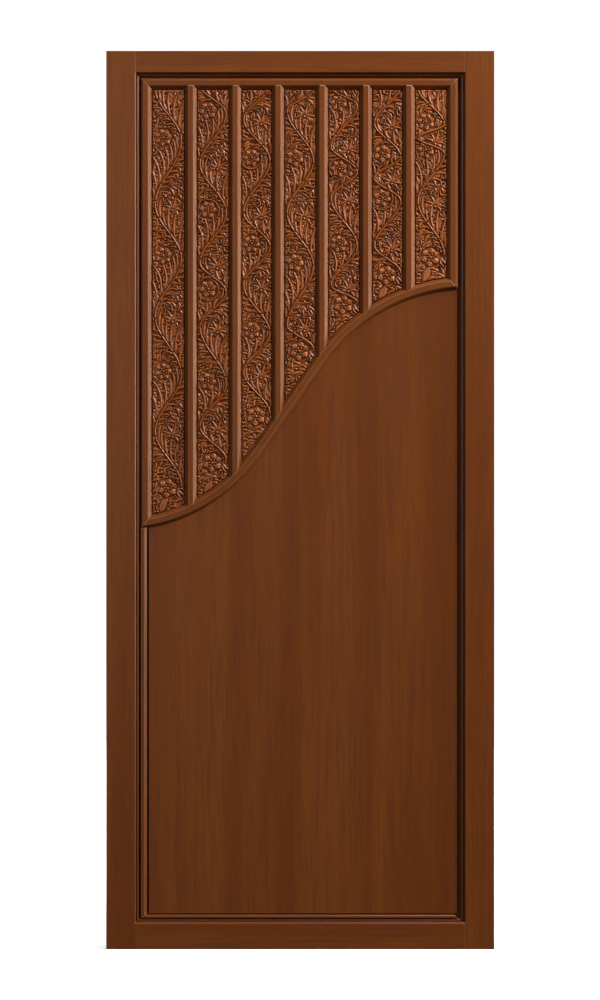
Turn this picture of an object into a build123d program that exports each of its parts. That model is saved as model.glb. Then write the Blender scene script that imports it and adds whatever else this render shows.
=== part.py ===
from build123d import *
import math
import os

os.makedirs("parts", exist_ok=True)

# Row frame in millimetres: X to the viewer's right, Z up, and the front of the door faces -Y.
# The origin is the middle of the sill's underside. Depths are measured back from the front face.

# Frame
frame_width = 920.0
frame_height = 2130.0
frame_depth = 62.0
clear_half = 389.5
sill_top = 64.7
head_under = 2077.8
arris = 2.4
sill_arris = 4.7
tenon_length = 42.0
tenon_thickness = 20.0
tenon_shoulder = 6.0

# Fixing holes through the jambs, hidden by the edge of the shut leaf
fixing_heights = [460.0, 1660.0]
fixing_y = 6.0
fixing_radius = 4.25

# Stop beads round the inside of the frame
stop_width = 7.5
stop_quirk = 2.3
stop_quirk_depth = 12.5
stop_face_depth = 8.0
stop_fall = 2.5
stop_back_depth = 19.5

# Leaf board: a slab behind the stops with a raised plain field below the curved rail
board_gap = 3.0
board_depth = 20.0
field_depth = 14.0
field_left = -359.3
field_right = 374.1
field_bottom = 83.0
field_arris = 2.0

# Grille of mouldings on the upper part of the leaf
grille_left = -378.0
grille_right = 374.1
grille_top = 2066.5
grille_depth = 5.0
bar_flat = 12.5
outer_bevel = 4.5
inner_bevel = 8.0
rail_bar = outer_bevel + bar_flat + inner_bevel
muntin_flat = 12.0
muntin_centres = [-259.9, -154.1, -52.2, 52.1, 156.2, 258.2]

# Curved rail: the lower edge of its flat is an arc, a straight and an arc
rail_flat = 13.0
rail_lower_bevel = 5.5
rail_left = Vector(-374.7, 1004.2)
rail_left_angle = 8.0
rail_slope = 55.4
rail_right_angle = 4.0
rail_straight = 257.3
low_radius = 403.0
high_radius = 436.0
rail_overrun = 2.0
rail_foot = rail_flat + inner_bevel

# Beads beside and under the plain field
side_bead_width = 13.5
side_bead_flat = 8.5
base_bead_width = 7.0
base_bead_flat = 4.4
base_bead_bottom = 73.4
bead_depth = 7.0

# Lift-off hinges: the frame's half has the lower knuckle with the pin fixed in it
hinge_heights = {"top": 1880.0, "middle": 1085.0, "bottom": 290.0}
hinge_length = 100.0
plate_thickness = 2.5
plate_reach = 28.0
knuckle_count = 2
knuckle_radius = 5.5
knuckle_gap = 0.4
pin_radius = 3.0
pin_length = 48.0
pin_clearance = 0.05
pin_x = -clear_half + board_gap / 2
pin_y = frame_depth / 2 + 6.0
screw_radius = 2.2
screw_head_radius = 4.2
screw_head_height = 2.0
screw_sides = 6
screw_length = 28.0
screw_places = [(-10.0, 36.0), (-19.0, 0.0), (-10.0, -36.0)]

# Carving
carving_gap = 0.4
carving_border = 3.5
ground_depth = 16.0
carving_depth = 9.0
stem_width = 5.5
stem_swing = 36.0
turn_radius = 34.0
run_share = 0.45
leaf_lean = 46.0
leaf_places = [(0.3, 0.36), (0.64, 0.44)]
end_leaf_turns = [0.0, 60.0]
end_leaf_length = 34.0
petal_count = 5
petal_reach = 16.0
petal_spread = 16.0
petal_waist = 7.0
flower_inset = 10.0
flower_rise = 8.0
vine_turns = [
    [(-1, 2042), (1, 1919), (-1, 1767), (1, 1639), (-1, 1502), (1, 1364), (-1, 1229), (1, 1099)],
    [(-1, 2050), (1, 1983), (-1, 1864), (1, 1748), (-1, 1629)]
    + [(1, 1560), (-1, 1477), (1, 1340), (-1, 1240), (1, 1160)],
    [(1, 2050), (-1, 1971), (1, 1871), (-1, 1748), (1, 1667), (-1, 1577), (1, 1461), (-1, 1369), (1, 1270)],
    [(1, 2040), (-1, 1990), (1, 1871), (-1, 1748), (1, 1622), (-1, 1480), (1, 1425)],
    [(-1, 2045), (1, 2002), (-1, 1905), (1, 1845), (-1, 1784), (1, 1667), (-1, 1575), (1, 1535)],
    [(1, 2050), (-1, 1961), (1, 1881), (-1, 1830), (1, 1776), (-1, 1670), (1, 1605)],
    [(-1, 2045), (1, 1957), (-1, 1925), (1, 1890), (-1, 1776), (1, 1648)],
]


def at_depth(depth):
    """The upright plane that lies this far behind the front face and looks to the front."""
    return Plane.XZ.offset(frame_depth / 2 - depth)


def front_edges(part, axis):
    """The edges of a bar's front face that run along the bar."""
    return part.faces().sort_by(Axis.Y)[0].edges().filter_by(axis)


def long_front_edges(part, up, side):
    """The curved rail's long front edges on one side of its line moved up by this much."""
    edges = part.faces().sort_by(Axis.Y)[0].edges()
    return edges.filter_by(
        lambda edge: edge.length > 2 * rail_bar
        and side * (edge.center().Z - rail_height(edge.center().X, up)) > 0
    )


def save(part, name):
    part.label = name
    export_step(part, f"parts/{name}.step")


def toward(angle, length):
    """The vector of this length at this angle, in degrees."""
    return Vector(math.cos(math.radians(angle)), math.sin(math.radians(angle))) * length


low_centre = rail_left + toward(rail_left_angle + 90, low_radius)
straight_start = low_centre + toward(rail_slope - 90, low_radius)
straight_end = straight_start + toward(rail_slope, rail_straight)
high_centre = straight_end + toward(rail_slope - 90, high_radius)


def pair(point):
    """A point as two numbers, which a line drawn on a plane reads as the plane's own."""
    return (point.X, point.Y)


def rail_edge(up):
    """Draws the curved rail's line moved up by this much, from left to right, and gives its ends."""
    low_start = rail_left_angle - rail_overrun
    high_end = rail_right_angle - rail_overrun
    lift = toward(rail_slope + 90, up)
    low = CenterArc(pair(low_centre), low_radius - up, low_start - 90, rail_slope - low_start)
    Line(pair(straight_start + lift), pair(straight_end + lift))
    high = CenterArc(pair(high_centre), high_radius + up, rail_slope + 90, high_end - rail_slope)
    return low @ 0, high @ 1


def rail_height(x, up):
    """The height of the curved rail's line, moved up by this much, at one place across the leaf."""
    lift = toward(rail_slope + 90, up)
    if x < (straight_start + lift).X:
        return low_centre.Y - math.sqrt((low_radius - up) ** 2 - (x - low_centre.X) ** 2)
    if x > (straight_end + lift).X:
        return high_centre.Y + math.sqrt((high_radius + up) ** 2 - (x - high_centre.X) ** 2)
    start = straight_start + lift
    return start.Y + (x - start.X) * math.tan(math.radians(rail_slope))


def below_rail(up):
    """The flat region under the curved rail's line, moved up by this much."""
    with BuildSketch() as region:
        with BuildLine():
            start, end = rail_edge(up)
            Polyline(end, (end.X, -1), (start.X, -1), start)
        make_face()
    return region.sketch


# The bevelled edge round the front of the frame's opening, cut from all four members
with BuildPart() as opening_bevel:
    with BuildSketch(at_depth(0)):
        with Locations((0, (sill_top - sill_arris + head_under + arris) / 2)):
            Rectangle(2 * (clear_half + arris), head_under + arris - sill_top + sill_arris)
    with BuildSketch(at_depth(arris)):
        with Locations((0, (sill_top + head_under) / 2)):
            Rectangle(2 * clear_half, head_under - sill_top)
    loft()

head_tenon = (head_under + tenon_shoulder, frame_height - tenon_shoulder)
sill_tenon = (tenon_shoulder + 6, sill_top - tenon_shoulder - 6)


def tenons(mode, sides):
    """Makes the head's and the sill's tenons, or their mortises."""
    for low, high in (head_tenon, sill_tenon):
        for side in sides:
            with Locations((side * (clear_half + tenon_length / 2), 0, (low + high) / 2)):
                Box(tenon_length, tenon_thickness, high - low, mode=mode)


# Screws and the places where they hold the hinges
with BuildPart() as screw:
    with BuildSketch():
        RegularPolygon(screw_head_radius, screw_sides)
    extrude(amount=-screw_head_height)
    with BuildSketch():
        RegularPolygon(screw_radius, screw_sides)
    extrude(amount=-screw_length)


def screw_planes(x, inward):
    """The faces of the hinge plates at one side, looking out of the wood, one for each screw."""
    return [
        Plane(
            origin=(x, frame_depth / 2 + y, height + z),
            x_dir=(0, 1, 0),
            z_dir=(-inward, 0, 0),
        )
        for height in hinge_heights.values()
        for y, z in screw_places
    ]


frame_screw_planes = screw_planes(-clear_half, -1)
leaf_screw_planes = screw_planes(-clear_half + board_gap, 1)


def hinge_gains(x, inward):
    """Cuts the shallow seats of the three hinge plates into an edge."""
    for height in hinge_heights.values():
        with Locations((x + inward * plate_thickness / 2, (frame_depth - plate_reach) / 2, height)):
            Box(plate_thickness, plate_reach, hinge_length, mode=Mode.SUBTRACT)


# Jambs
jamb_width = frame_width / 2 - clear_half
for side, name in ((-1, "left"), (1, "right")):
    with BuildPart() as jamb:
        with BuildSketch(at_depth(frame_depth)):
            with Locations((side * (clear_half + jamb_width / 2), frame_height / 2)):
                Rectangle(jamb_width, frame_height)
        extrude(amount=frame_depth)
        add(opening_bevel.part, mode=Mode.SUBTRACT)
        tenons(Mode.SUBTRACT, [side])
        inner_face = [
            Plane(origin=(side * clear_half, fixing_y, z), x_dir=(0, 1, 0), z_dir=(-side, 0, 0))
            for z in fixing_heights
        ]
        with Locations(*inner_face):
            Hole(fixing_radius, depth=jamb_width)
        if side < 0:
            hinge_gains(-clear_half, -1)
    save(jamb.part, f"frame_jamb_{name}")

# Head and sill
for low, high, tenon, name in (
    (head_under, frame_height, head_tenon, "frame_head"),
    (0, sill_top, sill_tenon, "frame_sill"),
):
    with BuildPart() as member:
        with BuildSketch(at_depth(frame_depth)):
            with Locations((0, (low + high) / 2)):
                Rectangle(2 * clear_half, high - low)
        extrude(amount=frame_depth)
        add(opening_bevel.part, mode=Mode.SUBTRACT)
        with Locations((0, 0, (tenon[0] + tenon[1]) / 2)):
            Box(2 * (clear_half + tenon_length), tenon_thickness, tenon[1] - tenon[0])
    save(member.part, name)

# Stop beads, mitred at the corners of the opening
stop_corners = [
    Vector(-clear_half, sill_top),
    Vector(clear_half, sill_top),
    Vector(clear_half, head_under),
    Vector(-clear_half, head_under),
]
inset_corners = [
    corner + Vector(stop_width * sx, stop_width * sz)
    for corner, sx, sz in zip(stop_corners, (1, -1, -1, 1), (1, 1, -1, -1))
]
stop_profile = [
    (0, stop_back_depth),
    (0, stop_quirk_depth),
    (stop_quirk, stop_quirk_depth),
    (stop_quirk, stop_face_depth),
    (stop_width - 1, stop_face_depth + stop_fall),
    (stop_width, stop_face_depth + stop_fall + 1),
    (stop_width, stop_back_depth),
]
for index, name in enumerate(("bottom", "right", "top", "left")):
    start = stop_corners[index]
    end = stop_corners[(index + 1) % 4]
    along = (end - start).normalized()
    inward = Vector(-along.Y, along.X)
    with BuildPart() as stop:
        end_plane = Plane(
            origin=(start.X, frame_depth / -2, start.Y),
            x_dir=(inward.X, 0, inward.Y),
            z_dir=(along.X, 0, along.Y),
        )
        with BuildSketch(end_plane):
            with BuildLine():
                Polyline([(across, -depth) for across, depth in stop_profile], close=True)
            make_face()
        extrude(amount=(end - start).length)
        with BuildSketch(at_depth(frame_depth)):
            with BuildLine():
                Polyline(
                    start,
                    end,
                    inset_corners[(index + 1) % 4],
                    inset_corners[index],
                    close=True,
                )
            make_face()
        extrude(amount=frame_depth, mode=Mode.INTERSECT)
    save(stop.part, f"stop_bead_{name}")

# Leaf board
board_half = clear_half - board_gap
board_bottom = sill_top + board_gap
board_top = head_under - board_gap
with BuildPart() as board:
    with BuildSketch(at_depth(frame_depth)):
        with Locations((0, (board_bottom + board_top) / 2)):
            Rectangle(2 * board_half, board_top - board_bottom)
    extrude(amount=frame_depth - board_depth)
    with BuildSketch(at_depth(board_depth)):
        with Locations((field_left, field_bottom)):
            Rectangle(field_right - field_left, frame_height, align=(Align.MIN, Align.MIN))
        add(below_rail(-rail_lower_bevel), mode=Mode.INTERSECT)
    extrude(amount=board_depth - field_depth)
    field_edge = front_edges(board.part, Axis.Z).sort_by(Axis.X)[-1]
    chamfer(field_edge, field_arris)
    hinge_gains(-board_half, 1)
save(board.part, "leaf_board")

# Curved rail, bevelled along both edges and mitred at both ends
left_foot = grille_left + rail_bar
right_foot = grille_right - rail_bar
grille_height = board_depth - grille_depth
rail_left_mitre = [
    (grille_left, rail_height(grille_left, -rail_lower_bevel)),
    (left_foot, rail_height(left_foot, rail_foot)),
]
rail_right_mitre = [
    (right_foot, rail_height(right_foot, rail_foot)),
    (grille_right, rail_height(grille_right, -rail_lower_bevel)),
]
with BuildPart() as curved_rail:
    with BuildSketch(at_depth(board_depth)):
        with BuildLine():
            Polyline(
                (grille_left, 0),
                *rail_left_mitre,
                (left_foot, frame_height),
                (right_foot, frame_height),
                *rail_right_mitre,
                (grille_right, 0),
                close=True,
            )
        make_face()
        add(below_rail(rail_foot), mode=Mode.INTERSECT)
        add(below_rail(-rail_lower_bevel), mode=Mode.SUBTRACT)
    extrude(amount=grille_height)
    chamfer(long_front_edges(curved_rail.part, rail_foot / 2, 1), inner_bevel)
    chamfer(long_front_edges(curved_rail.part, rail_foot / 2, -1), rail_lower_bevel)
save(curved_rail.part, "grille_curved_rail")

# Straight sides of the grille
with BuildPart() as top_rail:
    with BuildSketch(at_depth(board_depth)):
        with BuildLine():
            Polyline(
                (grille_left, grille_top),
                (grille_right, grille_top),
                (right_foot, grille_top - rail_bar),
                (left_foot, grille_top - rail_bar),
                close=True,
            )
        make_face()
    extrude(amount=grille_height)
    chamfer(front_edges(top_rail.part, Axis.X).sort_by(Axis.Z)[-1], outer_bevel)
    chamfer(front_edges(top_rail.part, Axis.X).sort_by(Axis.Z)[0], inner_bevel)
save(top_rail.part, "grille_top_rail")

for outer, inner, mitre, name in (
    (grille_left, left_foot, rail_left_mitre[::-1], "left"),
    (grille_right, right_foot, rail_right_mitre, "right"),
):
    with BuildPart() as stile:
        with BuildSketch(at_depth(board_depth)):
            with BuildLine():
                Polyline((outer, grille_top), (inner, grille_top - rail_bar), *mitre, close=True)
            make_face()
        extrude(amount=grille_height)
        uprights = front_edges(stile.part, Axis.Z).sort_by(Axis.X)
        chamfer(uprights[0] if outer < inner else uprights[-1], outer_bevel)
        uprights = front_edges(stile.part, Axis.Z).sort_by(Axis.X)
        chamfer(uprights[-1] if outer < inner else uprights[0], inner_bevel)
    save(stile.part, f"grille_{name}_stile")

# Muntins, scribed over the bevels of the rails
for number, centre in enumerate(muntin_centres, start=1):
    with BuildPart() as muntin:
        with BuildSketch(at_depth(board_depth)):
            with Locations((centre, 0)):
                Rectangle(
                    muntin_flat + 2 * inner_bevel,
                    grille_top - outer_bevel - bar_flat,
                    align=(Align.CENTER, Align.MIN),
                )
            add(below_rail(rail_flat), mode=Mode.SUBTRACT)
        extrude(amount=grille_height)
        chamfer(front_edges(muntin.part, Axis.Z), inner_bevel)
        add(top_rail.part, mode=Mode.SUBTRACT)
        add(curved_rail.part, mode=Mode.SUBTRACT)
    save(muntin.part, f"grille_muntin_{number}")

# Beads beside and under the plain field
bead_height = board_depth - bead_depth
side_bead_inner = grille_left + side_bead_width
base_bead_top = base_bead_bottom + base_bead_width
with BuildPart() as side_bead:
    with BuildSketch(at_depth(board_depth)):
        with BuildLine():
            Polyline(
                (grille_left, base_bead_bottom),
                (side_bead_inner, base_bead_top),
                (side_bead_inner, frame_height),
                (grille_left, frame_height),
                close=True,
            )
        make_face()
        add(below_rail(-rail_lower_bevel), mode=Mode.INTERSECT)
    extrude(amount=bead_height)
    inner_edge = front_edges(side_bead.part, Axis.Z).sort_by(Axis.X)[-1]
    chamfer(inner_edge, side_bead_width - side_bead_flat)
save(side_bead.part, "lower_bead_left")

with BuildPart() as base_bead:
    with BuildSketch(at_depth(board_depth)):
        with BuildLine():
            Polyline(
                (grille_left, base_bead_bottom),
                (field_right, base_bead_bottom),
                (field_right - base_bead_width, base_bead_top),
                (side_bead_inner, base_bead_top),
                close=True,
            )
        make_face()
    extrude(amount=bead_height)
    upper_edge = front_edges(base_bead.part, Axis.X).sort_by(Axis.Z)[-1]
    chamfer(upper_edge, base_bead_width - base_bead_flat)
save(base_bead.part, "lower_bead_bottom")

# Hinges
knuckle_pitch = hinge_length / knuckle_count
pin_axis = (pin_x, pin_y)
plate_depth = plate_reach + pin_y - frame_depth / 2
for place, height in hinge_heights.items():
    foot = Plane.XY.offset(height - hinge_length / 2)
    for owner, face_x, outward, own, other in (
        ("frame", -clear_half, -1, 0, 1),
        ("door", -board_half, 1, 1, 0),
    ):
        with BuildPart() as hinge_leaf:
            plate_x = face_x + outward * plate_thickness / 2
            with Locations((plate_x, frame_depth / 2 - plate_reach, height)):
                Box(
                    plate_thickness,
                    plate_depth,
                    hinge_length,
                    align=(Align.CENTER, Align.MIN, Align.CENTER),
                )
            with BuildSketch(foot.offset(other * knuckle_pitch - knuckle_gap / 2)):
                with Locations(pin_axis):
                    Circle(knuckle_radius + knuckle_gap)
            extrude(amount=knuckle_pitch + knuckle_gap, mode=Mode.SUBTRACT)
            with BuildSketch(foot.offset(own * knuckle_pitch + knuckle_gap / 2)):
                with Locations(pin_axis):
                    Circle(knuckle_radius)
            extrude(amount=knuckle_pitch - knuckle_gap)
            if owner == "frame":
                with BuildSketch(foot.offset(knuckle_pitch - knuckle_gap)):
                    with Locations(pin_axis):
                        Circle(pin_radius)
                extrude(amount=pin_length)
            else:
                with BuildSketch(foot.offset(knuckle_pitch)):
                    with Locations(pin_axis):
                        Circle(pin_radius + pin_clearance)
                extrude(amount=knuckle_pitch, mode=Mode.SUBTRACT)
        save(hinge_leaf.part, f"hinge_{place}_{owner}_leaf")

for planes, name in ((frame_screw_planes, "frame"), (leaf_screw_planes, "leaf")):
    with BuildPart() as screws:
        with Locations(*planes):
            add(screw.part)
    save(screws.part, f"hinge_screws_{name}")

# Carved panels: a vine that grows upward and swings from side to side, with hooked leaves
def turn_radii(corners):
    """The radius at each corner of the vine: turn_radius, or less where the runs are short."""
    radii = []
    for before, corner, after in zip(corners, corners[1:], corners[2:]):
        run = min((corner - before).length, (after - corner).length)
        half_turn = math.radians((corner - before).get_angle(after - corner)) / 2
        radii.append(min(turn_radius, run_share * run / math.tan(half_turn)))
    return radii


def leaf(root, angle, side, length):
    """A hooked leaf that leaves the stem along it and bends to the inside of the turn."""
    tip = root + toward(angle + side * leaf_lean, length)
    with BuildSketch() as blade:
        with BuildLine():
            TangentArc(pair(root), pair(tip), tangent=pair(toward(angle, 1)))
            Line(pair(tip), pair(root))
        make_face()
    return blade.sketch


def flower(centre):
    """An open flower with blunt petals."""
    points = []
    for petal in range(petal_count):
        angle = 90 + petal * 360 / petal_count
        points.append(centre + toward(angle - petal_spread, petal_reach))
        points.append(centre + toward(angle + petal_spread, petal_reach))
        points.append(centre + toward(angle + 180 / petal_count, petal_waist))
    with BuildSketch() as petals:
        Polygon(*[pair(point) for point in points], align=None)
    return petals.sketch


panel_edges = [left_foot]
for centre in muntin_centres:
    half = muntin_flat / 2 + inner_bevel
    panel_edges += [centre - half, centre + half]
panel_edges.append(right_foot)
for number in range(1, 8):
    left = panel_edges[2 * number - 2] + carving_gap
    right = panel_edges[2 * number - 1] - carving_gap
    top = grille_top - rail_bar - carving_gap
    middle = (left + right) / 2
    corners = [Vector(middle + side * stem_swing, z) for side, z in vine_turns[number - 1]]
    with BuildSketch() as field:
        with Locations((left, 0)):
            Rectangle(right - left, top, align=(Align.MIN, Align.MIN))
        add(below_rail(rail_foot + carving_gap), mode=Mode.SUBTRACT)
    with BuildSketch() as carved_field:
        with Locations((left + carving_border, 0)):
            Rectangle(
                right - left - 2 * carving_border,
                top - carving_border,
                align=(Align.MIN, Align.MIN),
            )
        add(below_rail(rail_foot + carving_gap + carving_border), mode=Mode.SUBTRACT)
    with BuildPart() as panel:
        with BuildSketch(at_depth(board_depth)):
            add(field.sketch)
        extrude(amount=board_depth - ground_depth)
        with BuildSketch(at_depth(ground_depth)):
            with BuildLine():
                FilletPolyline(*[pair(corner) for corner in corners], radius=turn_radii(corners))
                offset(amount=stem_width / 2, side=Side.BOTH)
            make_face()
            for upper, lower in zip(corners, corners[1:]):
                side = math.copysign(1, upper.X - lower.X)
                run = upper - lower
                angle = math.degrees(math.atan2(run.Y, run.X))
                for share, length in leaf_places:
                    add(leaf(upper - run * share, angle, side, length * run.length))
                if side > 0:
                    add(flower(Vector(middle - flower_inset, upper.Y + flower_rise)))
            for turn in end_leaf_turns:
                add(leaf(corners[-1], 270 + side * turn, side, end_leaf_length))
            add(carved_field.sketch, mode=Mode.INTERSECT)
        extrude(amount=ground_depth - carving_depth)
    save(panel.part, f"carved_panel_{number}")
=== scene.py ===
import math

import bmesh
import bpy
import numpy as np
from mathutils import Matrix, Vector


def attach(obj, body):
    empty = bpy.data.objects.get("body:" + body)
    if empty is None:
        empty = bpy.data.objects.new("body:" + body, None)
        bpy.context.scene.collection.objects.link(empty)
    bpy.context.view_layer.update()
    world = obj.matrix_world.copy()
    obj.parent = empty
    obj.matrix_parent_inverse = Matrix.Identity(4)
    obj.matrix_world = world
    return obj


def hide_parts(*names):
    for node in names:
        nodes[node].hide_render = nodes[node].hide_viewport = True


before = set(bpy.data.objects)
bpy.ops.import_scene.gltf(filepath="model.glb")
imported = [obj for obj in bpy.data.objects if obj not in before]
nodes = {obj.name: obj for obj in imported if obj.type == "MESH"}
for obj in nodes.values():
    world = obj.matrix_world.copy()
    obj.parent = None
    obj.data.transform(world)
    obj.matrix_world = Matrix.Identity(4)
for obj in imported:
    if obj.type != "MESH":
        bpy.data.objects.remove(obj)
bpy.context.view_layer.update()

# The frame's front face, in metres along Y
FRONT = -0.031

# Colours, as linear red, green and blue
GRAIN_LIGHT = (0.184, 0.0490, 0.0070)
GRAIN_MIDDLE = (0.148, 0.0350, 0.0036)
GRAIN_DARK = (0.092, 0.0195, 0.0022)
# Lighter colour laid on the arrises: partly wear, partly a painted highlight along the edges
WORN_AND_HIGHLIT_WOOD = (0.66, 0.35, 0.17)
# Painted shade, laid into the wood's hollows and gaps
HOLLOW_SHADE_COLOUR = (0.030, 0.0062, 0.0018)
BRASS = (0.60, 0.42, 0.16)
BRASS_TARNISH = (0.34, 0.22, 0.08)
ZINC = (0.52, 0.51, 0.49)
ZINC_TARNISH = (0.33, 0.32, 0.30)
WHITE = (1.0, 1.0, 1.0)
PAPER = (0.90, 0.90, 0.90)

# Gloss, and how dark the painted shade in the hollows is, for plain and for carved wood. The reach is in
# metres.
PLAIN = {"hollow_reach": 0.008, "darkest": 0.40, "specular": 0.38, "coat": 0.06}
CARVED = {"hollow_reach": 0.010, "darkest": 0.78, "specular": 0.44, "coat": 0.12}

# Width of the arrises in metres, of plain pieces and of those with a stronger lighter arris colour, and the
# strength above which an arris is the wider one. The lighter arris colour is partly wear and partly a
# painted highlight.
ARRIS = 0.0014
WORN_AND_HIGHLIT_ARRIS = 0.0022
WELL_WORN_AND_HIGHLIT = 0.5

# How far the grain and the mottling are drawn out: their scale along the wood, where it is 1 across
GRAIN_DRAW = 0.045
MOTTLE_DRAW = 0.5


# Materials


class Shader:
    """A new material with a few short ways to add its nodes."""

    def __init__(self, name):
        self.material = bpy.data.materials.new(name)
        self.material.use_nodes = True
        self.tree = self.material.node_tree
        self.tree.nodes.clear()
        output = self.add("ShaderNodeOutputMaterial")
        self.bsdf = self.add("ShaderNodeBsdfPrincipled")
        self.link(self.bsdf.outputs["BSDF"], output.inputs["Surface"])

    def add(self, kind):
        return self.tree.nodes.new(kind)

    def link(self, source, target):
        self.tree.links.new(source, target)

    def put(self, socket, value):
        """Links another node's output to a socket, or sets the socket to a plain value."""
        if hasattr(value, "links"):
            self.link(value, socket)
        else:
            socket.default_value = value

    def surface(self, name, value):
        """Gives one input of the surface's own shader."""
        self.put(self.bsdf.inputs[name], value)

    def coords(self, stretch, turn=(0, 0, 0), shift=(0, 0, 0)):
        """Object coordinates, turned, then scaled along each axis and shifted."""
        source = self.add("ShaderNodeTexCoord")
        turned = self.add("ShaderNodeMapping")
        turned.inputs["Rotation"].default_value = turn
        self.link(source.outputs["Object"], turned.inputs["Vector"])
        mapping = self.add("ShaderNodeMapping")
        mapping.inputs["Scale"].default_value = stretch
        mapping.inputs["Location"].default_value = shift
        self.link(turned.outputs["Vector"], mapping.inputs["Vector"])
        return mapping.outputs["Vector"]

    def noise(self, vector, scale, detail, rough=0.55, distort=0.0):
        node = self.add("ShaderNodeTexNoise")
        self.link(vector, node.inputs["Vector"])
        node.inputs["Scale"].default_value = scale
        node.inputs["Detail"].default_value = detail
        node.inputs["Roughness"].default_value = rough
        node.inputs["Distortion"].default_value = distort
        return node.outputs["Fac"]

    def span(self, value, low, high, to_low=0.0, to_high=1.0):
        """Maps the range from low to high onto the range from to_low to to_high, and clamps it there."""
        node = self.add("ShaderNodeMapRange")
        self.put(node.inputs["Value"], value)
        node.inputs["From Min"].default_value = low
        node.inputs["From Max"].default_value = high
        node.inputs["To Min"].default_value = to_low
        node.inputs["To Max"].default_value = to_high
        return node.outputs["Result"]

    def multiply(self, first, second):
        node = self.add("ShaderNodeMath")
        node.operation = "MULTIPLY"
        self.put(node.inputs[0], first)
        self.put(node.inputs[1], second)
        return node.outputs[0]

    def vector_number(self, kind, first, second=None):
        """The number that an operation on one or two vectors gives."""
        node = self.add("ShaderNodeVectorMath")
        node.operation = kind
        self.link(first, node.inputs[0])
        if second is not None:
            self.link(second, node.inputs[1])
        return node.outputs["Value"]

    def mix(self, factor, first, second):
        """A colour between two others. Inputs 6 and 7 and output 2 are the node's colour sockets."""
        node = self.add("ShaderNodeMix")
        node.data_type = "RGBA"
        self.put(node.inputs["Factor"], factor)
        self.put(node.inputs[6], first)
        self.put(node.inputs[7], second)
        return node.outputs[2]

    def bump(self, height, strength, distance, normal=None):
        node = self.add("ShaderNodeBump")
        node.inputs["Strength"].default_value = strength
        node.inputs["Distance"].default_value = distance
        self.link(height, node.inputs["Height"])
        if normal is not None:
            self.link(normal, node.inputs["Normal"])
        return node.outputs["Normal"]


def opaque(colour, tone=1.0):
    """A colour with its alpha, brightened by the tone."""
    return tuple(channel * tone for channel in colour) + (1.0,)


def drawn_out(along, share):
    """Scale of noise coordinates that are drawn out along X or Z."""
    return (1.0, 1.0, share) if along == "Z" else (share, 1.0, 1.0)


def arrises(s, streaks, wear_and_highlight):
    """The rounded normal at a piece's arrises, and how much lighter colour they get, less on some streaks:
    partly wear, partly a painted highlight.
    """
    bevel = s.add("ShaderNodeBevel")
    bevel.samples = 4
    bevel.inputs["Radius"].default_value = WORN_AND_HIGHLIT_ARRIS if wear_and_highlight > WELL_WORN_AND_HIGHLIT else ARRIS
    rounded = bevel.outputs["Normal"]
    geometry = s.add("ShaderNodeNewGeometry")
    agreement = s.vector_number("DOT_PRODUCT", rounded, geometry.outputs["True Normal"])
    worn_and_highlit = s.span(agreement, 0.995, 0.82, 0.0, wear_and_highlight)
    patchy = s.span(streaks, 0.35, 0.6, 0.35, 1.0)
    return rounded, s.multiply(worn_and_highlit, patchy)


def painted_hollow_shade(s, reach, darkest):
    """How much painted shade a place gets, by how much it is shut in by the surfaces near it."""
    shut_in = s.add("ShaderNodeAmbientOcclusion")
    shut_in.samples = 6
    shut_in.inputs["Distance"].default_value = reach
    return s.span(shut_in.outputs["AO"], 0.20, 0.80, darkest, 0.0)


def wood(name, along="Z", turn=0.0, tone=1.0, shift=0.0, wear_and_highlight=0.22, carved=False):
    """Varnished reddish-brown hardwood with its grain along X or Z, turned about Y by an angle, darkened
    with painted shade in its hollows.

    The shift moves the grain, so that no two materials show the same. The arrises get a lighter colour that
    is partly wear and partly a painted highlight; carved wood has no arrises.
    """
    s = Shader(name)
    finish = CARVED if carved else PLAIN
    turned = (0, turn, 0)
    grain = s.coords(drawn_out(along, GRAIN_DRAW), turned, (shift, shift * 0.7, shift * 1.3))
    patches = s.coords(drawn_out(along, MOTTLE_DRAW), turned, (shift, 0, 0))
    bands = s.noise(grain, scale=13.0, detail=3.0, rough=0.5, distort=0.25)
    streaks = s.noise(grain, scale=125.0, detail=5.0, rough=0.6, distort=0.2)
    fibres = s.noise(grain, scale=620.0, detail=3.0, rough=0.65)
    mottle = s.noise(patches, scale=9.0, detail=3.0)

    light = opaque(GRAIN_LIGHT, tone)
    middle = opaque(GRAIN_MIDDLE, tone)
    dark = opaque(GRAIN_DARK, tone)
    colour = s.mix(s.span(bands, 0.38, 0.62), middle, light)
    colour = s.mix(s.span(streaks, 0.42, 0.68, 0.0, 0.62), colour, dark)
    colour = s.mix(s.span(fibres, 0.50, 0.78, 0.0, 0.45), colour, dark)
    colour = s.mix(s.span(mottle, 0.35, 0.7, 0.0, 0.22), colour, middle)

    rounded = None
    # Arrises: a rounded normal, and a lighter colour that is partly wear and partly a painted highlight
    if not carved:
        rounded, worn_and_highlit = arrises(s, streaks, wear_and_highlight)
        colour = s.mix(worn_and_highlit, colour, opaque(WORN_AND_HIGHLIT_WOOD))
    # Painted shade: the colour darkens where the wood is shut in, most in the carving
    hollow_shade = painted_hollow_shade(s, finish["hollow_reach"], finish["darkest"])
    s.surface("Base Color", s.mix(hollow_shade, colour, opaque(HOLLOW_SHADE_COLOUR)))

    s.surface("Roughness", s.span(streaks, 0.3, 0.75, 0.30, 0.47))
    s.surface("Specular IOR Level", finish["specular"])
    s.surface("Coat Weight", finish["coat"])
    s.surface("Coat Roughness", 0.30)
    pores = s.bump(fibres, strength=0.22, distance=0.0004, normal=rounded)
    s.surface("Normal", s.bump(streaks, strength=0.25, distance=0.0009, normal=pores))
    return s.material


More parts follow.
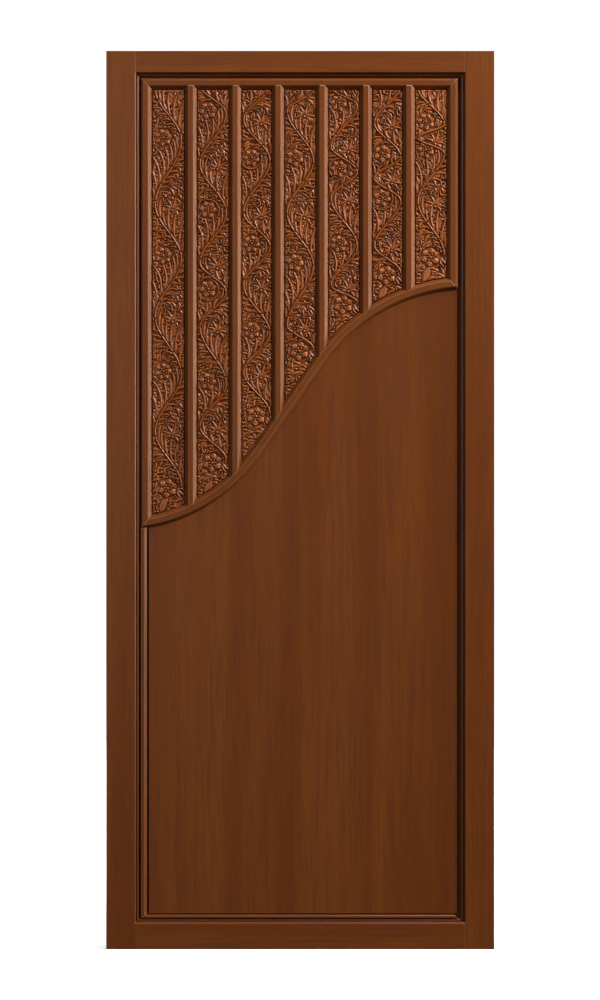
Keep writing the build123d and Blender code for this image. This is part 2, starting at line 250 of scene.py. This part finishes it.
def metal(name, colour, tarnish, rough):
    """A brushed metal with fine lines, and tarnish in patches."""
    s = Shader(name)
    lines = s.noise(s.coords((1, 1, 0.03)), scale=1500.0, detail=3.0, rough=0.6)
    patches = s.noise(s.coords((1, 1, 1)), scale=60.0, detail=5.0, rough=0.6)
    s.surface("Base Color", s.mix(s.span(patches, 0.4, 0.7), opaque(colour), opaque(tarnish)))
    s.surface("Metallic", 1.0)
    s.surface("Roughness", s.span(patches, 0.3, 0.7, rough, rough + 0.2))
    s.surface("Normal", s.bump(lines, strength=0.15, distance=0.0002))
    return s.material


upright = wood("varnished_upright", "Z", shift=0.0)
upright_other = wood("varnished_upright_other", "Z", shift=3.7)
level = wood("varnished_level", "X", shift=1.3)
level_low = wood("varnished_level_low", "X", shift=5.1)
board_wood = wood("varnished_board", "Z", shift=8.2)
# The grille's bars and rails get much more of the lighter arris colour, partly wear and partly a painted
# highlight
bar_wood = wood("varnished_bar", "Z", shift=2.6, wear_and_highlight=0.9)
rail_wood = wood("varnished_rail", "X", shift=7.7, wear_and_highlight=0.9)
sweep_wood = wood("varnished_sweep", "X", turn=math.radians(33), shift=4.4, wear_and_highlight=1.0)
# The carving's wood is painted about twice as light as the rest, a lighter copy of the same wood that
# offsets its darker painted hollow shade
lightened_carved_wood = wood("varnished_carving", "Z", tone=1.95, shift=6.3, carved=True)
brass = metal("dull_brass", BRASS, BRASS_TARNISH, rough=0.30)
steel = metal("zinc_steel", ZINC, ZINC_TARNISH, rough=0.33)


def material_for(node):
    """The material of a CAD node, by its name. A name is tried against each line in turn."""
    if node == "grille_top_rail":
        return rail_wood
    if node in ("frame_head", "stop_bead_top"):
        return level
    if node in ("frame_sill", "stop_bead_bottom", "lower_bead_bottom"):
        return level_low
    if node == "leaf_board":
        return board_wood
    if node == "grille_curved_rail":
        return sweep_wood
    if node.startswith("grille") or node == "lower_bead_left":
        return bar_wood
    if node.startswith("carved_panel"):
        return lightened_carved_wood
    if node.startswith("hinge_screws"):
        return steel
    if node.startswith("hinge"):
        return brass
    if node.endswith("left"):
        return upright
    return upright_other


for node in nodes:
    mesh = nodes[node].data
    mesh.materials.clear()
    mesh.materials.append(material_for(node))

# Carved relief of the seven panels, on the same vines as the CAD panels. Unless a line says
# otherwise, lengths are in millimetres, angles in radians from +X towards +Z, and a floor or a
# height is measured from the ground that the relief stands on.

MILLIMETRES = 1000

# Depth of the relief's ground and of the panels' backs behind the frame's front, in metres
GROUND = 0.016
BACK = 0.020

# Distance between the points of the height map, and the greatest height on it
PITCH = 1.0
RELIEF = 7.0

# How far the stem swings to each side of the panel's middle
SWING = 31.0

# Each stem's turns from the top down: -1 to the left or 1 to the right, and the height up the door
VINES = [
    [(-1, 2042), (1, 1919), (-1, 1767), (1, 1639), (-1, 1502), (1, 1364), (-1, 1229), (1, 1099)],
    [(-1, 2050), (1, 1983), (-1, 1864), (1, 1748), (-1, 1629), (1, 1560), (-1, 1477), (1, 1340),
     (-1, 1240), (1, 1160)],
    [(1, 2050), (-1, 1971), (1, 1871), (-1, 1748), (1, 1667), (-1, 1577), (1, 1461), (-1, 1369), (1, 1270)],
    [(1, 2040), (-1, 1990), (1, 1871), (-1, 1748), (1, 1622), (-1, 1480), (1, 1425)],
    [(-1, 2045), (1, 2002), (-1, 1905), (1, 1845), (-1, 1784), (1, 1667), (-1, 1575), (1, 1535)],
    [(1, 2050), (-1, 1961), (1, 1881), (-1, 1830), (1, 1776), (-1, 1670), (1, 1605)],
    [(-1, 2045), (1, 1957), (-1, 1925), (1, 1890), (-1, 1776), (1, 1648)],
]

# The flowers that have a scroll round them: the panel's number and the height of the turn
RINGED = {(2, 1748), (2, 1560), (5, 1845), (6, 1776), (3, 1871)}

# Small leaves: distance between their rows and columns, how far each may stand off its place,
# and the share of them that has a scroll
LEAF_ROWS = 17.0
LEAF_COLUMNS = 16.0
LEAF_STRAY = 3
SCROLL_SHARE = 0.28

# The range that a start angle is drawn from, which is about a full turn
ANY_ANGLE = (0, 6.28)

# Long barbs: how far apart they stand, and the longest run of stem that still makes them longer
BARB_SPACING = 13
LONGEST_RUN = 125

# The stem is laid in short parts that lap, so that each has few distances to work out
STEM_PART = 40
STEM_LAP = 4

# The relief stays at the ground for this far from a panel's edge, and then rises over this width
EDGE_FLAT = 0.6
EDGE_RISE = 2.4

# Each panel's random draws start from this number plus its own
SEED = 1700


class Relief:
    """A height map over one panel, with rounded strokes laid over each other."""

    def __init__(self, left, right, low, top):
        self.left = left
        self.right = right
        self.low = low
        self.top = top
        columns = int(round((right - left) / PITCH)) + 1
        rows = int(round((top - low) / PITCH)) + 1
        self.x = np.linspace(left, right, columns)
        self.z = np.linspace(low, top, rows)
        self.h = np.zeros((rows, columns))

    def around(self, path, pad):
        """The part of the map round a path, and how far each of its points is from each of the path's."""
        i0, i1 = np.searchsorted(self.x, (path[:, 0].min() - pad, path[:, 0].max() + pad))
        j0, j1 = np.searchsorted(self.z, (path[:, 1].min() - pad, path[:, 1].max() + pad))
        gx, gz = np.meshgrid(self.x[i0:i1], self.z[j0:j1])
        distance = np.hypot(gx[..., None] - path[:, 0], gz[..., None] - path[:, 1])
        return self.h[j0:j1, i0:i1], distance

    def stroke(self, path, widths, heights, moat, floor, power=0.5):
        """A ridge along a path, with a gap as wide as the moat cut down to the floor beside it.

        Half width, height and floor may change along the path. A power of 0.5 makes the section half
        an ellipse, and a smaller one makes its top flatter and its sides steeper.
        """
        window, distance = self.around(path, float(np.max(widths)) + moat + PITCH)
        if window.size == 0:
            return
        gap = distance - widths
        beside = gap.min(axis=-1) < moat
        floors = np.broadcast_to(floor, widths.shape)[gap.argmin(axis=-1)]
        window[beside] = np.minimum(window[beside], floors[beside])
        ridge = heights * np.clip(1 - (distance / widths) ** 2, 0, 1) ** power
        np.maximum(window, ridge.max(axis=-1), out=window)

    def boss(self, x, z, radius, height, moat, floor):
        """One round dome."""
        self.stroke(np.array([[x, z]]), np.array([radius]), np.array([height]), moat, floor)

    def groove(self, path, width, depth):
        """A narrow cut along a path."""
        window, distance = self.around(path, 2)
        if window.size == 0:
            return
        window -= depth * np.exp(-((distance.min(axis=-1) / width) ** 2))


def hook(start, angle, length, bend, ease, steps):
    """A path that sets off at an angle and turns by the bend, evenly at an ease of 1 and late above it."""
    t = (np.arange(steps) + 0.5) / steps
    turn = angle + bend * t**ease
    step = length / steps
    points = np.stack([np.cumsum(np.cos(turn)) * step, np.cumsum(np.sin(turn)) * step], axis=1)
    return np.vstack([[start], points + start])


def barb(relief, start, angle, length, bend, width, height, moat, ease, root_floor=4.2):
    """A barb that grows out of the leaf at its root and ends in a raised, hooked tip.

    The gap round it is shallow at the root and deep at the tip, and always lower than the barb.
    """
    tip_floor = 0.9
    least_step = 0.8
    steps = max(int(length / 1.1), 6)
    path = hook(np.array(start), angle, length, bend, ease, steps)
    t = np.linspace(0, 1, len(path))
    swell = 0.66 + 0.34 * np.sin(np.pi * np.minimum(t * 1.1, 1.0))
    taper = 1 - 0.40 * t**4
    heights = height * (0.74 + 0.26 * t**0.8)
    floors = root_floor + (tip_floor - root_floor) * t**1.5
    relief.stroke(path, width * swell * taper, heights, moat, np.minimum(floors, heights - least_step))


def petal(relief, x, z, size, angle, width, height):
    """A broad petal that rises away from the middle of its flower, with three veins cut in it."""
    reach = size * np.array([0.30, 0.46, 0.62, 0.86])
    path = np.stack([x + reach * math.cos(angle), z + reach * math.sin(angle)], axis=1)
    widths = width * np.array([0.44, 0.72, 0.72, 0.30])
    heights = height * np.array([0.60, 0.74, 0.88, 1.0])
    relief.stroke(path, widths, heights, moat=0.9, floor=1.6, power=0.35)
    share = np.linspace(0.30, 0.84, 6)
    vein = size * share
    for spread in (-0.26, 0.0, 0.26):
        bent = angle + spread * share
        relief.groove(np.stack([x + vein * np.cos(bent), z + vein * np.sin(bent)], axis=1), 0.7, 1.3)


def blossom(relief, x, z, size, petals, spin, height):
    """An open flower: broad veined petals, a smaller row inside them, and a button."""
    relief.boss(x, z, size * 1.02, height=2.2, moat=1.2, floor=0.5)
    for k in range(petals):
        angle = spin + 2 * math.pi * k / petals
        petal(relief, x, z, size, angle, size * math.sin(math.pi / petals), height)
    for k in range(petals):
        angle = spin + 2 * math.pi * (k + 0.5) / petals
        root = (x + 2 * math.cos(angle), z + 2 * math.sin(angle))
        barb(relief, root, angle, length=size * 0.34, bend=0.3, width=size * 0.14, height=height,
             moat=0.9, ease=1.0, root_floor=2.0)
    relief.boss(x, z, size * 0.19, height=height * 1.02, moat=1.0, floor=1.0)


def ring(relief, x, z, radius, start, sweep, width, height):
    """A scroll that draws in a little as it turns."""
    t = np.linspace(0, 1, max(int(radius * abs(sweep)), 12))
    r = radius * (1 - 0.28 * t)
    angle = start + sweep * t
    path = np.stack([x + r * np.cos(angle), z + r * np.sin(angle)], axis=1)
    relief.stroke(path, np.full(len(t), width), np.full(len(t), height), moat=1.1, floor=0.6)


def broad_leaf(relief, start, angle, length, width, height):
    """A wide pointed leaf with a midrib and side veins cut in."""
    path = hook(np.array(start), angle, length, bend=0.35, ease=1.0, steps=26)
    t = np.linspace(0, 1, len(path))
    widths = width * np.maximum(np.sin(np.pi * t**0.75), 0.16)
    relief.stroke(path, widths, height * (0.80 + 0.20 * t), moat=1.2, floor=0.5, power=0.4)
    relief.groove(path[:-2], width=0.8, depth=1.8)
    for k in range(4, 22, 4):
        for side in (-1, 1):
            vein = hook(path[k], angle + side * 0.75, widths[k] * 1.1, 0.2 * side, ease=1.0, steps=8)
            relief.groove(vein, width=0.6, depth=1.3)


def palmette(relief, x, z):
    """Seven barbs that spread from a boss, the middle one over the rest."""
    for spread in (-1.5, 1.5, -1.0, 1.0, -0.5, 0.5, 0.0):
        barb(relief, (x - 2, z - 12), 1.3 + spread, length=32 - 6 * abs(spread), bend=spread * 0.9,
             width=3.3, height=6.5, moat=1.3, ease=1.0)
    relief.boss(x - 2.5, z - 14.0, radius=4.2, height=6.4, moat=1.1, floor=0.6)


def small_leaf(relief, x, z, angle, side, rng):
    """A leaf of three lobes, the middle one over the others."""
    for lobe in (-0.66, 0.66, 0.0):
        barb(relief, (x, z), angle + lobe, length=rng.uniform(21, 28), bend=side * rng.uniform(0.7, 1.4),
             width=3.9, height=rng.uniform(5.0, 6.4), moat=1.1, ease=1.2, root_floor=3.4)


def vine_line(centre, rising):
    """The stem's middle line from the lowest turn up, with its angle at every point."""
    points = []
    for (side_a, z_a), (side_b, z_b) in zip(rising, rising[1:]):
        count = max(int((z_b - z_a) / PITCH), 12)
        u = np.arange(count) / count
        x = centre + SWING * (side_a + (side_b - side_a) * (1 - np.cos(math.pi * u)) / 2)
        points.append(np.stack([x, z_a + (z_b - z_a) * u], axis=1))
    line = np.vstack(points)
    step = np.gradient(line, axis=0)
    return line, np.arctan2(step[:, 1], step[:, 0])


def fan(relief, line, angles, begin, end, count, side, lengths, bends, height, rng):
    """Barbs on one side of the stem, from one place on its line to another.

    Lengths and bends are given for both ends. Each barb's gap is cut into the barb before it.
    """
    for k in range(count):
        share = k / max(count - 1, 1)
        at = int(round(begin + (end - begin) * share))
        at = min(max(at, 0), len(line) - 1)
        length = (lengths[0] + (lengths[1] - lengths[0]) * share) * rng.uniform(0.97, 1.03)
        bend = side * (bends[0] + (bends[1] - bends[0]) * share) * rng.uniform(0.97, 1.03)
        barb(relief, line[at], angles[at] + side * 0.26, length, bend, width=3.1, height=height,
             moat=1.2, ease=1.5, root_floor=4.6)


def scatter_leaves(relief, line, angles, rng):
    """Small leaves all over, each turned away from the nearest stretch of stem, and some scrolls."""
    for row in np.arange(relief.low, relief.top, LEAF_ROWS):
        for column in np.arange(relief.left + 6, relief.right, LEAF_COLUMNS):
            x = column + rng.uniform(-LEAF_STRAY, LEAF_STRAY)
            z = row + rng.uniform(-LEAF_STRAY, LEAF_STRAY)
            nearest = int(np.argmin((line[:, 0] - x) ** 2 + (line[:, 1] - z) ** 2))
            stem_x, stem_z = line[nearest]
            along = angles[nearest]
            to_right = (x - stem_x) * math.sin(along) - (z - stem_z) * math.cos(along)
            side = -1 if to_right > 0 else 1
            small_leaf(relief, x, z, along + side * rng.uniform(0.5, 1.1), side, rng)
            if rng.uniform() < SCROLL_SHARE:
                ring(relief, x, z, radius=rng.uniform(9, 12), start=rng.uniform(*ANY_ANGLE),
                     sweep=side * 4.6, width=2.5, height=6.4)


def long_barbs(relief, line, angles, rising, rng):
    """Long barbs on both sides of each run from turn to turn, first on the outside of the turn above it."""
    for (_, z_low), (side, z_high) in zip(rising, rising[1:]):
        inside = np.where((line[:, 1] >= z_low) & (line[:, 1] < z_high))[0]
        first = inside[0]
        last = inside[-1]
        run = z_high - z_low
        reach = min(run, LONGEST_RUN)
        count = max(int(run / BARB_SPACING), 4)
        fan(relief, line, angles, last - 0.12 * run, first + 0.02 * run, count, -side,
            lengths=(50, 28), bends=(1.2, 1.6), height=6.6, rng=rng)
        fan(relief, line, angles, last, first + 0.05 * run, count, side,
            lengths=(0.36 * reach + 16, 0.74 * reach + 16), bends=(0.95, 1.2), height=6.9, rng=rng)


def fill_turns(relief, number, centre, turns, rng):
    """A flower inside each turn to the right, and a palmette inside each turn to the left."""
    for side, z in turns:
        x = centre - side * 12
        if side < 0:
            palmette(relief, x, z)
            continue
        if (number, z) in RINGED:
            ring(relief, x, z + 6, radius=28, start=rng.uniform(*ANY_ANGLE), sweep=5.2,
                 width=2.2, height=6.6)
        spin = rng.uniform(*ANY_ANGLE)
        blossom(relief, x, z + 7, size=21, petals=6 + number % 2, spin=spin, height=6.8)


def lay_stem(relief, line):
    """The stem, which swells and narrows a little, with a cut along each side."""
    widths = 2.6 + 0.3 * np.sin(np.arange(len(line)) / 9.0)
    for start in range(0, len(line), STEM_PART):
        part = slice(start, start + STEM_PART + STEM_LAP)
        relief.stroke(line[part], widths[part], np.full(len(line[part]), RELIEF), moat=1.4, floor=1.8)


def fill_foot(relief, centre, lowest_turn):
    """Below the stem: a broad leaf that points down, a fan of barbs, and a flower over them."""
    side, z = lowest_turn
    down = -math.pi / 2
    broad_leaf(relief, (centre - 4, relief.low + 40), down - 0.55, length=42, width=9.5, height=6.0)
    root = (centre + side * SWING * 0.6, z)
    for k, turn in enumerate(np.linspace(-0.3, 1.9, 7)):
        barb(relief, root, down - side * turn, length=34 - 2 * k, bend=side * 0.9, width=3.4, height=6.4,
             moat=1.0, ease=1.0)
    blossom(relief, centre - side * 2, z - 6, size=23, petals=6, spin=0.4, height=6.9)


def carve(relief, number, turns, rng):
    """Carves one panel. What comes later lies over what came before."""
    centre = (relief.left + relief.right) / 2
    rising = turns[::-1]
    line, angles = vine_line(centre, rising)
    scatter_leaves(relief, line, angles, rng)
    long_barbs(relief, line, angles, rising, rng)
    fill_turns(relief, number, centre, turns[1:-1], rng)
    lay_stem(relief, line)
    fill_foot(relief, centre, turns[-1])


def panel_foot(points):
    """The lower edge of a panel's back, from left to right."""
    back = points[points[:, 1] > points[:, 1].max() - 0.01]
    foot = back[back[:, 2] < back[:, 2].max() - 1]
    return foot[np.argsort(foot[:, 0])]


def relief_front(relief, foot):
    """The height map's points in metres and the faces between them, cut off below along the foot."""
    low = np.interp(relief.x, foot[:, 0], foot[:, 2])
    gx, gz = np.meshgrid(relief.x, relief.z)
    to_sides = np.minimum(gx - relief.left, relief.right - gx)
    to_ends = np.minimum(relief.top - gz, gz - low)
    rise = np.clip((np.minimum(to_sides, to_ends) - EDGE_FLAT) / EDGE_RISE, 0, 1)
    h = np.clip(relief.h, 0, RELIEF) * (rise * rise * (3 - 2 * rise))
    y = FRONT + GROUND - h / MILLIMETRES
    points = np.stack([gx / MILLIMETRES, y, np.maximum(gz, low) / MILLIMETRES], axis=-1)
    below = gz < low
    cut_off = below[:-1, :-1] & below[:-1, 1:] & below[1:, :-1] & below[1:, 1:]
    index = np.arange(relief.h.size).reshape(relief.h.shape)
    corners = [index[:-1, :-1], index[:-1, 1:], index[1:, 1:], index[1:, :-1]]
    faces = np.stack(corners, axis=-1)[~cut_off]
    used, renumbered = np.unique(faces, return_inverse=True)
    return points.reshape(-1, 3)[used], renumbered.reshape(-1, 4)


def relief_mesh(name, relief, foot):
    """A closed piece with the height map on its front, upright edges and a flat back."""
    points, faces = relief_front(relief, foot)
    mesh = bpy.data.meshes.new(name)
    mesh.from_pydata(points.tolist(), [], faces.tolist())
    mesh.update()
    work = bmesh.new()
    work.from_mesh(mesh)
    bmesh.ops.remove_doubles(work, verts=work.verts, dist=1e-6)
    rim = [edge for edge in work.edges if edge.is_boundary]
    made = bmesh.ops.extrude_edge_only(work, edges=rim)["geom"]
    for corner in made:
        if isinstance(corner, bmesh.types.BMVert):
            corner.co.y = FRONT + BACK
    back_rim = [edge for edge in made if isinstance(edge, bmesh.types.BMEdge)]
    bmesh.ops.contextual_create(work, geom=back_rim)
    bmesh.ops.recalc_face_normals(work, faces=work.faces)
    for face in work.faces:
        face.smooth = abs(face.normal.y) > 0.02
    work.to_mesh(mesh)
    work.free()
    return mesh


for number, turns in enumerate(VINES, start=1):
    node = f"carved_panel_{number}"
    name = f"carving_{number}"
    points = np.array([vertex.co[:] for vertex in nodes[node].data.vertices]) * MILLIMETRES
    left, _, low = points.min(axis=0)
    right, _, top = points.max(axis=0)
    relief = Relief(left, right, low, top)
    carve(relief, number, turns, np.random.default_rng(SEED + number))
    piece = bpy.data.objects.new(name, relief_mesh(name, relief, panel_foot(points)))
    bpy.context.scene.collection.objects.link(piece)
    piece.data.materials.append(lightened_carved_wood)
    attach(piece, "leaf")
    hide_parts(node)

# Round studio, in metres: a floor, a cove and an upright backdrop, so that every side of the door
# is seen against it. It is wide enough for a camera that stands far back.


def studio_profile(radius, cove, height, steps=12):
    """Distance from the middle and height of each ring of points, from the floor to the top."""
    profile = [(0.6 * radius, 0.0), (radius - cove, 0.0)]
    for step in range(1, steps + 1):
        angle = math.pi / 2 * step / steps
        profile.append((radius - cove + cove * math.sin(angle), cove * (1 - math.cos(angle))))
    profile.append((radius, height))
    return profile


def studio_mesh(profile, segments=96):
    """The surface that the profile makes when it is turned about Z, closed in the middle."""
    points = [(0.0, 0.0, 0.0)]
    for r, z in profile:
        for k in range(segments):
            angle = 2 * math.pi * k / segments
            points.append((r * math.cos(angle), r * math.sin(angle), z))
    faces = [(0, 1 + k, 1 + (k + 1) % segments) for k in range(segments)]
    for row in range(len(profile) - 1):
        for k in range(segments):
            a = 1 + row * segments + k
            b = 1 + row * segments + (k + 1) % segments
            faces.append((a, a + segments, b + segments, b))
    mesh = bpy.data.meshes.new("studio")
    mesh.from_pydata(points, [], faces)
    for face in mesh.polygons:
        face.use_smooth = True
    return mesh


def studio_paper():
    """White paper that glows more away from the door, so that soft shadows show only near it."""
    s = Shader("studio_paper")
    distance = s.vector_number("LENGTH", s.coords((1, 1, 1)))
    s.surface("Base Color", opaque(PAPER))
    s.surface("Emission Color", opaque(WHITE))
    s.surface("Emission Strength", s.span(distance, 0.8, 6.0, 0.6, 1.0))
    s.surface("Roughness", 0.95)
    s.surface("Specular IOR Level", 0.1)
    return s.material


mesh = studio_mesh(studio_profile(radius=45.0, cove=6.0, height=45.0))
mesh.materials.append(studio_paper())
obj = bpy.data.objects.new("studio", mesh)
bpy.context.scene.collection.objects.link(obj)
obj.visible_diffuse = False
obj.visible_glossy = False

# Lights, in metres and watts. The side light stands almost in the plane of the door's front and
# the one above hangs near it, so that they catch the bevels and the carving.

DAYLIGHT = (1.0, 0.985, 0.965)
WARM = (1.0, 0.90, 0.77)
COOL = (0.98, 0.99, 1.0)


def area_light(name, place, aim, size, power, colour=WHITE):
    data = bpy.data.lights.new(name, "AREA")
    data.shape = "RECTANGLE"
    data.size, data.size_y = size
    data.energy = power
    data.color = colour
    light = bpy.data.objects.new(name, data)
    bpy.context.scene.collection.objects.link(light)
    light.location = place
    light.rotation_euler = (Vector(aim) - Vector(place)).to_track_quat("-Z", "Y").to_euler()


area_light("key", (4.3, -2.7, 5.1), aim=(0, 0, 1.05), size=(1.3, 1.3), power=575, colour=DAYLIGHT)
area_light("side", (3.7, -0.62, 1.75), aim=(0, -0.03, 1.25), size=(0.5, 1.8), power=62, colour=WARM)
area_light("above", (0.9, -0.85, 4.6), aim=(0, -0.03, 1.5), size=(1.6, 0.4), power=38, colour=WARM)
area_light("fill", (-3.0, -4.2, 2.0), aim=(0, 0, 1.0), size=(2.4, 2.4), power=62, colour=COOL)
area_light("rear", (0.8, 4.8, 2.4), aim=(0, 0, 1.1), size=(3.2, 3.2), power=190)
area_light("rear_side", (3.2, 3.2, 1.8), aim=(0, 0, 1.1), size=(1.2, 1.8), power=70)

world = bpy.data.worlds.new("studio")
world.use_nodes = True
background = world.node_tree.nodes["Background"]
background.inputs["Color"].default_value = opaque(WHITE)
background.inputs["Strength"].default_value = 0.05
bpy.context.scene.world = world
bpy.context.scene.view_settings.view_transform = "Standard"

# Camera, in metres: straight on, at the middle of the photograph's frame. The lens and the sensor
# are in millimetres.

CAMERA_X = -0.0006
CAMERA_HEIGHT = 1.0653
CAMERA_DISTANCE = 6.585

camera_data = bpy.data.cameras.new("camera")
camera_data.lens = 100
camera_data.sensor_width = 36
camera_data.clip_end = 150
camera = bpy.data.objects.new("camera", camera_data)
camera.location = (CAMERA_X, FRONT - CAMERA_DISTANCE, CAMERA_HEIGHT)
camera.rotation_euler = (math.pi / 2, 0, 0)
bpy.context.scene.collection.objects.link(camera)
bpy.context.scene.camera = camera
